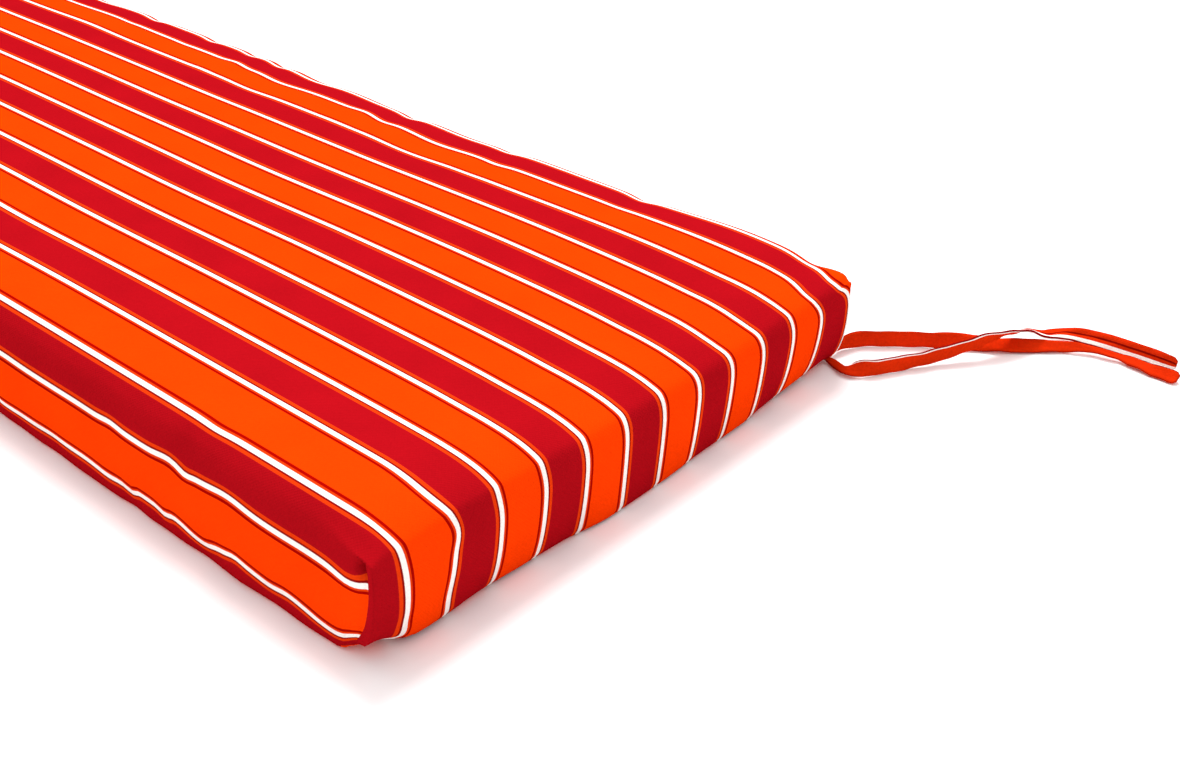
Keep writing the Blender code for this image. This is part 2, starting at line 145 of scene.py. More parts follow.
def makeTie(name, rows, shares, material):
    half, thin = ties["width"] / 2, ties["thick"] / 2
    # Section: (outwards from the first face, up to the sewn edge)
    section = [(0.25, -half), (thin, -half + 0.9), (thin * 0.8, -half * 0.5), (thin * 0.66, 0.0),
               (thin * 0.8, half * 0.5), (thin, half - 1.1), (0.3, half), (-0.55, half - 0.3),
               (-thin, half - 1.6), (-thin * 0.9, half - 6.2), (-thin * 0.25, half - 7.3),
               (-thin * 0.95, half - 8.6), (-thin * 0.85, -half * 0.6), (-thin, -half + 0.9), (-0.25, -half)]
    places = smoothRoute(rows, ties["step"])
    flat = np.concatenate([[0], np.cumsum(np.linalg.norm(np.diff(places[:, :2], axis=0), axis=1))])
    runs, kept, foldedOnly = zip(*shares)
    share, lopsided = smoothRead(runs, kept, flat), smoothRead(runs, foldedOnly, flat)
    lean = np.radians(places[:, 3])
    rest = np.abs(np.cos(lean)) * half * share + np.abs(np.sin(lean)) * thin
    height = rest + ties["gap"] + np.maximum(places[:, 2], 0)
    line = np.column_stack([places[:, 0] + ties["corner"][0], places[:, 1] + ties["corner"][1], height])
    forward = np.gradient(line, axis=0)
    forward /= np.linalg.norm(forward, axis=1)[:, None]
    right = np.column_stack([forward[:, 1], -forward[:, 0], 0 * lean])
    right /= np.linalg.norm(right, axis=1)[:, None]
    up = np.cross(right, forward)
    sewn = up * np.cos(lean)[:, None] + right * np.sin(lean)[:, None]
    face = right * np.cos(lean)[:, None] - up * np.sin(lean)[:, None]
    run = np.concatenate([[0], np.cumsum(np.linalg.norm(np.diff(line, axis=0), axis=1))])
    deep, short, long = ties["wave"]
    rippleDeep, rippleLength = ties["ripple"]
    bm = bmesh.new()
    rings = []
    for i in range(len(line)):
        close = min(1.0, min(run[i], run[-1] - run[i]) / ties["turnedIn"])
        wide = share[i] * (1 - (1 - ties["endShare"]) * (1 - close) ** 2)
        shift = half * (1 - share[i]) * lopsided[i]
        ring = []
        for out, high in section:
            sway = (deep * sin(run[i] / short + high * 0.25) * sin(run[i] / long + 1.0)
                    + rippleDeep * sin(run[i] / rippleLength + high * 0.7))
            outward = out * (0.7 + 0.3 * close) + sway * close
            at = line[i] + face[i] * outward + sewn[i] * (high * wide + shift)
            if i == 0:
                at -= forward[0] * ties["rootIn"]
            at[2] = max(at[2], ties["floorGap"])
            ring.append(bm.verts.new(at * mm))
        rings.append(ring)
    uv = bm.loops.layers.uv.new("cloth")
    sides = len(section)
    steps = np.roll(section, -1, axis=0) - np.array(section)
    reach = np.concatenate([[0], np.cumsum(np.hypot(steps[:, 0], steps[:, 1]))])
    for i in range(len(rings) - 1):
        for k in range(sides):
            j = (k + 1) % sides
            made = bm.faces.new((rings[i][k], rings[i][j], rings[i + 1][j], rings[i + 1][k]))
            for loop, (u, v) in zip(made.loops, ((i, k), (i, k + 1), (i + 1, k + 1), (i + 1, k))):
                loop[uv].uv = (run[u] * mm, reach[v] * mm)
    for ring in (rings[0], rings[-1]):
        bm.faces.new(ring)
    bmesh.ops.recalc_face_normals(bm, faces=bm.faces)
    mesh = bpy.data.meshes.new(name)
    bm.to_mesh(mesh)
    bm.free()
    mesh.shade_smooth()
    mesh.materials.append(material)
    made = bpy.data.objects.new(name, mesh)
    bpy.context.scene.collection.objects.link(made)
    return made, [tuple(p * mm) for p in line], run[-1] * mm


# The cushion's shape, in millimetres: the solids' tables, read with smooth curves between
# their rows. A level is a place on the box wall, from the bottom seam to the shoulder. Unlike
# the solids, the back corners' feet are drawn in further, the tips above them are a little
# lower, and the front has one long shallow pucker more, its last.
cushion = dict(
    length=1219.0, width=465.6, top=79.8, grid=4.0, wideGrid=8.0,
    edge=(0.0, 1.2, 2.6, 4.2, 6.0, 7.6, 9.4, 11.6, 14.4, 18.0, 23.0, 29.0),
    steps=((0.0, 0.07, 0.15, 0.25, 0.38, 0.54, 0.76), (0.0, 0.33, 0.67), (0.0, 0.33, 0.67), (0.0, 0.33, 0.67),
           (0.0, 0.25, 0.5, 0.75), (0.0, 0.25, 0.5, 0.75), (0.0, 0.25, 0.5, 0.75)),
    levels=dict(  # how far in from the plan and how far up, for the front, the back and the ends
        frontIn=(2.0, 1.2, 0.6, 0.0, 0.7, 2.5, 5.6, 10.5),
        frontUp=(1.6, 9.0, 17.5, 28.5, 40.5, 52.5, 63.0, 71.2),
        backIn=(3.6, 1.8, 0.5, 0.0, 1.0, 3.2, 6.8, 12.2),
        backUp=(2.6, 10.5, 18.0, 28.5, 40.0, 51.0, 61.0, 68.5),
        tuck=(1.0, 0.62, 0.36, 0.16, 0.05, 0.0, 0.0, 0.0), endIn=(0, 0, 0, 0, 0, 0.3, 1.8, 5.4),
        endUp=(0.0, 9.5, 18.5, 29.5, 41.0, 52.0, 60.5, 66.5)),
    frontCorner=dict(
        sideIn=(7.0, 3.9, 2.3, 1.6, 1.6, 1.9, 2.6, 3.8),
        endIn=(16.4, 11.2, 6.6, 3.2, 1.6, 1.0, 2.0, 4.2),
        up=(7.0, 14.0, 20.4, 28.0, 39.0, 49.0, 58.5, 66.5), reach=(36, 40, 48, 52, 52, 52, 52, 52)),
    backCorner=dict(
        sideIn=(14.0, 9.0, 7.0, 8.0, 11.0, 14.4, 17.6, 20.6),
        endIn=(13.0, 12.2, 11.2, 9.8, 8.4, 7.2, 6.2, 5.4),
        up=(4.5, 11.5, 20.0, 31.0, 43.0, 54.0, 62.5, 69.0), reach=(34, 40, 48, 52, 52, 52, 52, 52)),
    tipReach=28.0,
    rounding=dict(
        inset=(3.0, 5.4, 10.5, 13.8, 17.0, 23.0, 35.0, 56.0, 91.0, 126.0, 167.0, 300.0),
        front=(13.0, 12.0, 8.6, 5.6, 3.3, 1.3, 0.5, 0, 0, 0, 0, 0),
        back=(24.0, 20.0, 13.0, 9.6, 7.4, 5.2, 3.6, 2.4, 1.2, 0.6, 0.2, 0),
        end=(12.8, 9.3, 6.2, 4.9, 3.9, 2.6, 1.1, 0.1, 0, 0, 0, 0),
        sag=(4.0, 4.3, 5.0, 5.4, 5.5, 5.6, 5.4, 4.8, 3.0, 2.0, 1.5, 0)),
    ends=dict(
        across=(3, 22, 43, 60, 85, 117, 155, 168, 190, 243, 286, 333, 361, 388, 417, 462),
        seamIn=(10.0, 9.6, 7.6, 7.2, 8.4, 7.2, 5.8, 4.0, 1.6, 2.4, 4.6, 5.0, 7.4, 8.6, 9.6, 12.5),
        seamUp=(3.6, 3.6, 3.2, 3.0, 2.6, 2.0, 1.6, 1.5, 1.5, 1.5, 1.6, 2.0, 2.6, 3.2, 3.8, 4.5),
        faceIn=(0, 0, 0.6, 1.2, 1.6, 2.0, 2.3, 2.3, 2.4, 2.4, 2.6, 3.2, 3.4, 3.6, 3.9, 4.4),
        sag=(0, 0, 0, 0, 0.2, 0.5, 0.75, 0.85, 0.95, 1.0, 1.15, 1.05, 0.9, 0.8, 0.7, 0.4)),
    # Puckers of the long sides: along, height of the deepest place, half width, half height, depth
    frontPuckers=[
        (576, 14, 15, 14, 2.0), (556, 58, 16, 13, 1.4), (531, 14, 13, 13, 1.6), (498, 10, 11, 12, -1.2),
        (466, 12, 12, 13, 1.8), (452, 60, 12, 13, 2.8), (432, 12, 14, 12, 1.2), (400, 11, 11, 13, 2.2),
        (352, 57, 26, 12, 1.2), (318, 12, 15, 13, 1.6), (268, 58, 18, 12, 1.8), (246, 12, 13, 13, 2.2),
        (188, 12, 16, 12, 1.6), (141, 60, 14, 13, 2.4), (104, 12, 13, 13, 2.0), (47, 12, 17, 12, 1.5),
        (-18, 59, 20, 12, 1.7), (-39, 12, 12, 13, 2.2), (-102, 12, 16, 12, 1.6), (-157, 60, 13, 13, 2.6),
        (-171, 12, 13, 13, 1.9), (-243, 12, 15, 12, 1.7), (-296, 58, 22, 12, 1.5), (-322, 12, 12, 13, 2.2),
        (-391, 12, 16, 12, 1.6), (-437, 60, 13, 13, 2.4), (-469, 12, 13, 13, 2.0), (-538, 12, 16, 12, 1.8),
        (435, 6, 42, 8, -0.6), (275, 6, 22, 8, 1.4), (0, 51, 5000, 9, 1.6)],
    backPuckers=[
        (572, 70, 15, 16, 3.6), (510, 74, 56, 24, -4.0), (421, 70, 13, 18, 2.6), (284, 70, 14, 18, 2.2),
        (238, 72, 44, 22, 3.4), (170, 70, 13, 20, 2.6), (148, 72, 50, 22, 3.2), (48, 72, 30, 20, 3.4),
        (-6, 70, 12, 18, 2.8), (-47, 70, 12, 18, 2.2), (-106, 70, 13, 18, 2.4), (-198, 70, 14, 18, 2.6),
        (-286, 72, 32, 20, 2.8), (-352, 70, 12, 18, 2.8), (-441, 70, 18, 18, 2.2), (-515, 70, 13, 18, 2.4),
        (505, 14, 14, 13, 1.6), (352, 14, 15, 13, 1.8), (209, 14, 13, 13, 1.6), (92, 14, 15, 13, 1.8),
        (-64, 14, 14, 13, 1.6), (-183, 14, 15, 13, 1.8), (-317, 14, 13, 13, 1.6), (-468, 14, 15, 13, 1.8)],
    topReach=75.0, cornerReach=40.0, topDraw=0.5,
    # Seams: the foot is drawn in; the corner seams lie on the long sides, leaning in lower down,
    # with the end's cloth standing proud of them
    seamPull=1.1, seamPullReach=2.6, cornerSeam=6.0, cornerPull=1.8, cornerPullReach=4.0,
    proudReach=1.3, proudUp=16.0, cornerSlant=2.2, slantHeights=(10.0, 36.0), slantReach=22.0,
    # Dimple beside the front corner seam: its x and z, the reach along each, and how deep
    dimple=(601.2, 62.2, 3.4, 3.0, 14.0),
    # Lift of the foot beside the front corner seam: from the end, lift
    footLift=((0, 2.6), (2.6, 1.2), (6.0, -1.4), (9.4, -2.0), (14.4, -1.4), (20.0, -0.6), (29.0, 0)),
    liftReach=6.0, endLift=2.2, endLiftReach=40.0,
    # Bottom panel: its curl as inset and height, its rounded corners, and where its cloth shows beside
    # the corners: from the end, and rows up from the foot
    curl=((5.0, 0.9), (12.0, 0.0)), roundIn=7.0, roundReach=30.0, panelBeside=(30.0, 2),
    tipPower=1.7, innerStep=6.0, shoulderIn=3.0, arcPlaces=600, stripeZero=-210.0, panelShift=32.0,
)

# How the cloth is drawn across itself, which bends the stripes, in millimetres
bends = dict(
    # Around a place: its x, y and z, the reach along each, and how far the cloth is drawn
    spots=[
        # Back ear
        (597, 199, 72, 16, 18, 12, 9.6), (597, 168, 70, 18, 14, 9, 7.0),
        # Top, where its crown and the puckers of the back edge pull at the stripes
        (190, 10, 78, 110, 130, 60, 3.0), (15, 65, 78, 90, 90, 60, 1.7), (410, 100, 78, 70, 90, 60, -1.6),
        (155, -165, 78, 70, 45, 60, 2.0), (592, 95, 76, 22, 55, 14, 3.2),
        (605, -176, 76, 18, 14, 14, -2.0), (-215, 160, 78, 55, 38, 60, -3.4),
        (-33, 172, 78, 14, 24, 60, -3.2), (38, 168, 78, 28, 36, 60, 4.4), (143, 178, 78, 13, 22, 60, -3.0),
        (173, 176, 78, 12, 22, 60, 2.6), (240, 163, 78, 38, 34, 60, 6.6), (302, 172, 78, 14, 22, 60, 3.4),
        (470, 168, 78, 55, 38, 60, -2.3),
        # Front wall and shoulder
        (588, -230, 51, 12, 20, 12, 2.7), (453, -230, 50, 8, 20, 10, 2.0), (384, -230, 52, 10, 20, 10, -1.4),
        (438, -230, 53, 11, 20, 10, -1.9), (491, -230, 53, 18, 20, 10, -2.4), (0, -230, 51, 5000, 20, 9, 0.5),
        (0, -212, 78, 5000, 12, 12, 3.2), (466, -213, 78, 12, 12, 12, 0.8),
        # Front corner
        (606, -208, 28, 14, 12, 34, -3.6), (604, -204, 10, 12, 10, 9, -2.6), (594, -179, 76, 22, 12, 8, 3.2),
        (608, -174, 60, 10, 12, 8, -3.4), (606, -178, 20, 12, 12, 16, 3.2)],
    # Along the foot of the front: along, reach, and how far the cloth is drawn
    footSpots=[(265, 22, 1.9), (315, 22, 1.6), (380, 15, 1.9), (400, 7, 4.6), (433, 7, 3.2), (466, 13, 6.6),
               (499, 8, -2.8), (527, 12, 3.5), (576, 18, 7.2), (608, 10, 2.6)],
    footUp=14.0, footReach=14.0,
    # Under the front corner the end's cloth is turned along its foot
    turned=1.5, turnedReach=2.4,
    # Over the back edge, where the cloth is stretched
    backAcross=(177, 190, 204), backDrawn=(0, 1.4, 3.9), backFade=(45.0, 25.0),
)
halfLength, halfWidth = cushion["length"] / 2, cushion["width"] / 2


def ease(distance, reach):  # 1 at an edge, 0 at its reach
    t = np.clip(distance / reach, 0, 1)
    return 1 - t * t * (3 - 2 * t)


def bySide(level, y, key):  # a corner's value at a level, front or back
    front, back = cushion["frontCorner"][key][level], cushion["backCorner"][key][level]
    return np.where(y < 0, front, back)


def endRead(y, key):
    return smoothRead(cushion["ends"]["across"], cushion["ends"][key], y + halfWidth)


def topHeight(x, y):
    table = cushion["rounding"]
    inEnd = halfLength - np.abs(x) - endRead(y, "faceIn")
    read = lambda key, place: smoothRead(table["inset"], table[key], place)
    drops = (read("end", inEnd) + endRead(y, "sag") * read("sag", inEnd),
             read("front", y + halfWidth), read("back", halfWidth - y))
    return cushion["top"] - sum(drop ** 4 for drop in drops) ** 0.25


def inPlan(level, x, y):
    table = cushion["levels"]
    reach = bySide(level, y, "reach")
    nearEnd, nearSide = ease(halfLength - np.abs(x), reach), ease(halfWidth - np.abs(y), reach)
    endIn = table["endIn"][level] + table["tuck"][level] * endRead(y, "seamIn") + endRead(y, "faceIn")
    endIn += (bySide(level, y, "endIn") - endIn) * nearSide
    sideIn = np.where(y < 0, table["frontIn"][level], table["backIn"][level])
    sideIn = sideIn + (bySide(level, y, "sideIn") - sideIn) * nearEnd
    return x - np.sign(x) * endIn * nearEnd, y - np.sign(y) * sideIn * nearSide


def shape(level, x, y):  # the cloth's place for a place of the plain box plan, before puckers
    x, y = np.asarray(x, float), np.asarray(y, float)
    movedX, movedY = inPlan(level, x, y)
    reach = bySide(level, y, "reach")
    nearEnd, nearSide = ease(halfLength - np.abs(x), reach), ease(halfWidth - np.abs(y), reach)
    cornerUp = bySide(level, y, "up")
    if level == 7:
        tipX = halfLength - bySide(7, y, "endIn")
        tipY = np.sign(y) * (halfWidth - bySide(7, y, "sideIn"))
        nearTipEnd = ease(halfLength - np.abs(x), cushion["tipReach"])
        nearTipSide = ease(halfWidth - np.abs(y), cushion["tipReach"])
        tip = (nearTipEnd * nearTipSide) ** cushion["tipPower"]
        up = topHeight(movedX, movedY) + (cornerUp - topHeight(tipX, tipY)) * tip
        return np.stack([movedX, movedY, up], axis=-1)
    table = cushion["levels"]
    endUp = table["endUp"][level] + table["tuck"][level] * endRead(y, "seamUp")
    endUp = endUp + (cornerUp - endUp) * nearSide
    sideUp = np.where(y < 0, table["frontUp"][level], table["backUp"][level])
    sideUp = sideUp + (cornerUp - sideUp) * nearEnd
    return np.stack([movedX, movedY, np.where(np.abs(x) >= halfLength, endUp, sideUp)], axis=-1)


def stations(half, pitch):  # grid places from edge to edge, close together at both
    inner = half - cushion["edge"][-1]
    middle = np.linspace(-inner, inner, round(2 * inner / pitch) + 1)[1:-1]
    low = [-half + e for e in cushion["edge"]]
    return np.array(low + list(middle) + [-p for p in reversed(low)])


def pucker(places):  # the puckers draw the cloth in, and down where it is near the top
    x, y, z = places.T
    moved = places.copy()
    for side, rows in ((-1, cushion["frontPuckers"]), (1, cushion["backPuckers"])):
        drawn = sum(depth * np.exp(-((x - at) / wide) ** 2 - ((z - up) / tall) ** 2)
                    for at, up, wide, tall, depth in rows)
        drawn *= (1 - ease(halfLength - np.abs(x), cushion["cornerReach"]))
        drawn *= ease(halfWidth - np.abs(y), cushion["topReach"]) * (np.sign(y) == side)
        rise = np.minimum(z / cushion["top"], 1) ** 2
        moved[:, 1] -= side * drawn * (1 - (1 - cushion["topDraw"]) * rise)
        moved[:, 2] -= drawn * rise
    return moved


def bent(places, onSide):  # how far the cloth is drawn at each place, on a long side or elsewhere
    x, y, z = places.T
    drawn = 0 * x
    for atX, atY, atZ, overX, overY, overZ, far in bends["spots"]:
        away = ((x - atX) / overX) ** 2 + ((y - atY) / overY) ** 2 + ((z - atZ) / overZ) ** 2
        drawn += far * np.exp(-away)
    front = np.exp(-((z - bends["footUp"]) / bends["footReach"]) ** 2) * (y < -halfWidth * 0.9) * onSide
    for atX, overX, far in bends["footSpots"]:
        drawn += far * np.exp(-((x - atX) / overX) ** 2) * front
    low, reach = bends["backFade"]
    fade = np.where(onSide, 1.0, 1 - ease(z - low, reach))
    return drawn + np.interp(y, bends["backAcross"], bends["backDrawn"]) * fade


def gridMesh(xs, ys, rowsDown):  # the top as a grid, with the walls and the panel grown from its rim
    bm = bmesh.new()
    bmesh.ops.create_grid(bm, x_segments=len(xs) - 1, y_segments=len(ys) - 1, size=1.0)
    marks = ("column", "row", "level")
    columnOf, rowOf, levelOf = (bm.verts.layers.int.new(k) for k in marks)
    for vert in bm.verts:
        vert[columnOf] = round((vert.co.x + 1) / 2 * (len(xs) - 1))
        vert[rowOf] = round((vert.co.y + 1) / 2 * (len(ys) - 1))
        vert[levelOf] = rowsDown
    rim = [e for e in bm.edges if e.is_boundary]
    for level in list(reversed(range(rowsDown))) + [-1, -2]:
        grown = bmesh.ops.extrude_edge_only(bm, edges=rim)["geom"]
        rim = [g for g in grown if isinstance(g, bmesh.types.BMEdge)]
        for vert in {v for e in rim for v in e.verts}:
            vert[levelOf] = level
    bmesh.ops.edgeloop_fill(bm, edges=rim)
    bmesh.ops.recalc_face_normals(bm, faces=bm.faces)
    mesh = bpy.data.meshes.new("cushionCover")
    bm.to_mesh(mesh)
    bm.free()
    values = [np.array([d.value for d in mesh.attributes[k].data]) for k in marks]
    for k in marks:
        mesh.attributes.remove(mesh.attributes[k])
    return mesh, *values


def wallRows(x, y, steps):  # places up the wall at each x and y of the rim, and the run down to each
    onEnd, onSide = np.abs(x) >= halfLength, np.abs(y) >= halfWidth
    inward = cushion["innerStep"]
    inner = shape(7, x - np.sign(x) * inward * onEnd, y - np.sign(y) * inward * onSide)
    knots = [shape(k, x, y) for k in range(8)]
    knots = [2 * knots[0] - knots[1]] + knots + [inner]
    rows = np.array([spline(*knots[seg:seg + 4], t) for seg, t in steps] + [knots[8]])
    run = np.zeros(rows.shape[:2])
    run[:-1] = np.cumsum(np.linalg.norm(np.diff(rows, axis=0), axis=2)[::-1], axis=0)[::-1]
    return rows, run


def sewSeams(places, x, y, isWall, fromSeam):  # the cloth is pulled in along the foot and each corner
    fromSide, fromEnd = halfWidth - np.abs(y), halfLength - np.abs(x)
    sideWall, endWall = isWall & (fromSide == 0), isWall & (fromEnd == 0)
    pull = cushion["seamPull"] * np.exp(-(fromSeam / cushion["seamPullReach"]) ** 2)
    beyond = fromEnd - cushion["cornerSeam"]
    proud = np.exp(-(beyond / np.where(beyond < 0, cushion["proudReach"], cushion["cornerPullReach"])) ** 2)
    proud *= 1 - np.exp(-(places[:, 2] / cushion["proudUp"]) ** 2)
    atX, atZ, overX, overZ, deep = cushion["dimple"]
    dimple = deep * np.exp(-((x - atX) / overX) ** 2 - ((places[:, 2] - atZ) / overZ) ** 2) * (y < 0)
    dimple *= np.where(beyond < 0, proud, 1)
    places[sideWall, 1] -= (np.sign(y) * (pull + cushion["cornerPull"] * proud + dimple))[sideWall]
    places[endWall, 0] -= (np.sign(x) * pull)[endWall]
    low, reach = cushion["slantHeights"]
    slant = cushion["cornerSlant"] * ease(places[:, 2] - low, reach)
    slant *= np.where(beyond < 0, fromEnd / cushion["cornerSeam"], ease(beyond, cushion["slantReach"]))
    places[sideWall, 0] -= (np.sign(x) * slant)[sideWall]
    inset, lift = zip(*cushion["footLift"])
    fade = np.exp(-(fromSeam / cushion["liftReach"]) ** 2) * (y < 0)
    places[sideWall, 2] += (smoothRead(inset, lift, fromEnd) * fade)[sideWall]
    lifted = endWall & (fromSide > 0)
    places[lifted, 2] += (cushion["endLift"] * ease(fromSide, cushion["endLiftReach"]) * fade)[lifted]


def curlPanel(places, x, y, key, level):  # the bottom panel curls from its seam down to the floor
    footOf = {k: i for i, k in enumerate(key) if level[i] == 0}
    reach = cushion["roundReach"]
    near = ease(halfLength - np.abs(x), reach) * ease(halfWidth - np.abs(y), reach)
    for code, (plainInset, up) in zip((-1, -2), cushion["curl"]):
        for i in np.where(level == code)[0]:
            at = places[footOf[key[i]]]
            inset = plainInset + cushion["roundIn"] * near[i]
            places[i] = (at[0] * (1 - inset / halfLength), at[1] * (1 - inset / halfWidth), up)


def makeCushion(material):
    xs, ys = stations(halfLength, cushion["grid"]), stations(halfWidth, cushion["wideGrid"])
    steps = [(seg, t) for seg, row in enumerate(cushion["steps"]) for t in row]
    last = len(steps)
    mesh, column, row, level = gridMesh(xs, ys, last)
    x, y, key = xs[column], ys[row], column * len(ys) + row
    places = np.zeros((len(x), 3))
    onTop, isWall = level == last, (level >= 0) & (level < last)
    places[onTop] = shape(7, x[onTop], y[onTop])

    # Cloth length across the middle of the top, from the front shoulder to the back one
    count, inset = cushion["arcPlaces"], cushion["shoulderIn"]
    middle = np.linspace(-halfWidth + inset, halfWidth - inset, count)
    arc = np.concatenate([[0], np.cumsum(np.hypot(np.diff(middle), np.diff(topHeight(0 * middle, middle))))])
    arc += middle[count // 2] - cushion["stripeZero"] - arc[count // 2]
    across = lambda place: np.interp(place, middle, arc)
    u, v = places[:, 0].copy(), across(places[:, 1])

    # Walls, carried on from the top, with the run down from its edge and up from the seam
    keys, back = np.unique(key[isWall], return_inverse=True)
    rimX, rimY = xs[keys // len(ys)], ys[keys % len(ys)]
    rows, down = wallRows(rimX, rimY, steps)
    places[isWall] = rows[level[isWall], back]
    run, fromSeam = np.zeros(len(x)), np.full(len(x), np.inf)
    run[isWall], fromSeam[isWall] = down[level[isWall], back], (down[0] - down)[level[isWall], back]
    startX, startY = np.zeros(len(x)), np.zeros(len(x))
    startX[isWall], startY[isWall] = rows[-1][back, 0], rows[-1][back, 1]

    sewSeams(places, x, y, isWall, fromSeam)
    places[:, :] = pucker(places)
    curlPanel(places, x, y, key, level)
    mesh.vertices.foreach_set("co", (places * mm).ravel())

    # Cloth coordinates: u along the stripes, v across them, for a long side, an end, the top and the panel
    fromSide, fromEnd = halfWidth - np.abs(y), halfLength - np.abs(x)
    besideSeam = np.sign(y) * np.maximum(fromEnd, 0) * (fromSide <= 0)
    sideUv = np.column_stack([places[:, 0], np.where(isWall, across(startY) + np.sign(y) * run, v)])
    endUv = np.column_stack([np.where(isWall, np.sign(x) * (np.abs(startX) + run), u),
                             np.where(isWall, across(startY) + besideSeam, v)])
    topUv = np.column_stack([u, v])
    panelUv = np.column_stack([places[:, 0], places[:, 1] - cushion["stripeZero"] + cushion["panelShift"]])
    for source, onSide in ((sideUv, True), (endUv, False), (topUv, False)):
        source[:, 1] += bent(places, onSide)
    turned = np.exp(-(fromSeam / bends["turnedReach"]) ** 2) * (endUv[:, 1] < 0) * (y < 0)
    endUv[:, 1] += (bends["turned"] - endUv[:, 1]) * turned
    uvs = np.zeros((len(mesh.loops), 2))
    besideReach, besideRows = cushion["panelBeside"]
    for face in mesh.polygons:
        ids = np.array(face.vertices)
        wall, side = level[ids].min() < last, (fromSide[ids] == 0).all()
        beside = level[ids].max() <= besideRows and side and (fromEnd[ids] <= besideReach).all()
        if level[ids].min() < 0 or beside:
            source = panelUv
        elif side and wall and (fromEnd[ids] >= cushion["cornerSeam"] - 0.01).all():
            source = sideUv
        elif wall:
            source = endUv
        else:
            source = topUv
        uvs[face.loop_start:face.loop_start + face.loop_total] = source[ids]
    layer = mesh.uv_layers.new(name="cloth")
    layer.data.foreach_set("uv", (uvs * mm).ravel())
    mesh.shade_smooth()
    mesh.materials.append(material)
    made = bpy.data.objects.new("cushionCover", mesh)
    bpy.context.scene.collection.objects.link(made)
    return made


# Printed cotton, a matte plain weave: wide orange and red stripes with thin lines between
cloth = dict(
    orange="fa3d03", red="a60c16", darkLine="a00602", thinOrange="e23a0c", white="fbf3ee", maroon="8a0a0a",
    pitch=35.2, firstCentre=17.6, blur=0.12, tieBlur=0.1,
    # Widths of the thin lines from the orange stripe to the red one, in millimetres
    lines=(("darkLine", 1.7), ("thinOrange", 1.4), ("white", 3.2), ("maroon", 1.2), ("thinOrange", 2.2)),
    # Across the ties, from the folded edge up the first face, over the sewn edge and down the second; the
    # tieFoldShade bands are painted shade along the folded edges, inside the open sewn edge and in a crease
    # tieOrange is the strips' own colour; tieFoldShade is a painted shade colour, not a colour of the cloth
    tieOrange="d22c09", tieFoldShade="8a0c05",
    # Plain tie: painted shade along both folded edges and the sewn edge
    plainTie=(("tieFoldShade", 0.6), ("tieOrange", 12.4), ("tieFoldShade", 0.8), ("tieOrange", 13.5), ("tieFoldShade", 0.8)),
    # Near the back tie's tip: the wider dark band beside the white sliver is the painted shadow inside the
    # opened fold
    backTip=(("tieFoldShade", 0.6), ("tieOrange", 11.0), ("tieFoldShade", 1.2), ("white", 1.6), ("tieOrange", 13.7)),
    backTipFrom=210.1, tipBlur=4.0,
    # Lined tie: the maroon band between the two whites is the painted shadow of the gap between the folded
    # layers, and the 1.8 mm dark band is a crease's painted shade
    linedTie=(("tieFoldShade", 0.6), ("tieOrange", 11.2), ("white", 0.7), ("maroon", 2.5), ("white", 3.0),
              ("tieOrange", 2.7), ("tieFoldShade", 1.8), ("tieOrange", 4.8), ("tieFoldShade", 0.8)),
    # Matte and uneven: the thread's width, then fine grain and broad patches as scales per metre; the ties'
    # stronger mottle is partly painted shade of their small creases
    thread=1.2, roughness=0.95, specular=0.0, grain=420.0, patches=26.0, mottle=0.08, tieMottleAndCreaseShade=0.2,
    bumpStrength=0.25, bumpDepth=0.0003,
)


def weave(tree, uv):  # threads over and under, drawn coarser than real ones so that they show
    turns = pi / (cloth["thread"] * mm)
    scaled = node(tree, "ShaderNodeVectorMath", {"operation": "SCALE", "Scale": turns},
                  {"Vector": (uv, "UV")})
    split = node(tree, "ShaderNodeSeparateXYZ", links={"Vector": (scaled, "Vector")})
    along = node(tree, "ShaderNodeMath", {"operation": "SINE"}, {0: (split, "X")})
    across = node(tree, "ShaderNodeMath", {"operation": "SINE"}, {0: (split, "Y")})
    return node(tree, "ShaderNodeMath", {"operation": "MULTIPLY"}, {0: (along, 0), 1: (across, 0)})


def finishCloth(tree, shader, uv, colour, mottle):
    grain = node(tree, "ShaderNodeTexNoise", {"Scale": cloth["grain"], "Detail": 3.0, "Roughness": 0.6},
                 {"Vector": (uv, "UV")})
    patch = node(tree, "ShaderNodeTexNoise", {"Scale": cloth["patches"], "Detail": 2.0},
                 {"Vector": (uv, "UV")})
    both = node(tree, "ShaderNodeMath", {"operation": "ADD"}, {0: (grain, "Fac"), 1: (patch, "Fac")})
    shade = node(tree, "ShaderNodeMapRange", {"From Min": 0.6, "From Max": 1.4, "To Min": 1 - mottle,
                                              "To Max": 1 + mottle}, {"Value": (both, 0)})
    tinted = node(tree, "ShaderNodeVectorMath", {"operation": "SCALE"},
                  {"Vector": colour, "Scale": (shade, 0)})
    tree.links.new(tinted.outputs[0], shader.inputs["Base Color"])
    height = node(tree, "ShaderNodeMath", {"operation": "ADD"}, {0: (weave(tree, uv), 0), 1: (grain, "Fac")})
    bump = node(tree, "ShaderNodeBump", {"Strength": cloth["bumpStrength"], "Distance": cloth["bumpDepth"]},
                {"Height": (height, 0)})
    tree.links.new(bump.outputs[0], shader.inputs["Normal"])
    shader.inputs["Roughness"].default_value = cloth["roughness"]
    shader.inputs["Specular IOR Level"].default_value = cloth["specular"]


def newMaterial(name):
    made = bpy.data.materials.new(name)
    made.use_nodes = True
    return made, made.node_tree, made.node_tree.nodes["Principled BSDF"]


